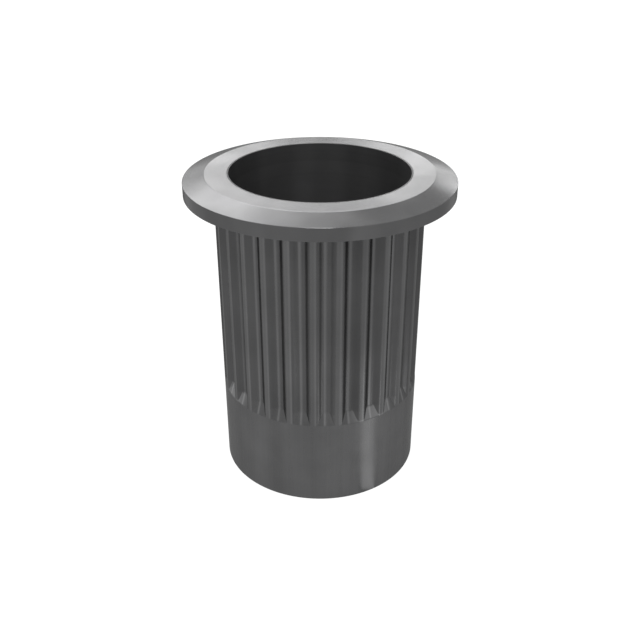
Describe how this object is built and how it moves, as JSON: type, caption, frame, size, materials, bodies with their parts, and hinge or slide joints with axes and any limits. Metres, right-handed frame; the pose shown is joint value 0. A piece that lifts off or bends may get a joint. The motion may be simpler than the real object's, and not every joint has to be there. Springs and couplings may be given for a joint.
{
  "type": "rivet nut",
  "caption": "Open-end rivet nut with a flat bevelled head and a ribbed shank, pulled tight in a round hole to give a thin sheet a strong thread.",
  "frame": {"origin": "centre of the open bottom end of the shank, in the plane of its end face", "axes": "+Z along the axis from the open end up to the head, +X through the crest of one rib"},
  "size_m": [0.0142, 0.0142, 0.017],
  "materials": {
    "plated_steel": "dark plated steel, turned head, drawn shank"
  },
  "bodies": {
    "root": {"rivet_nut": "plated_steel"}
  },
  "joints": []
}
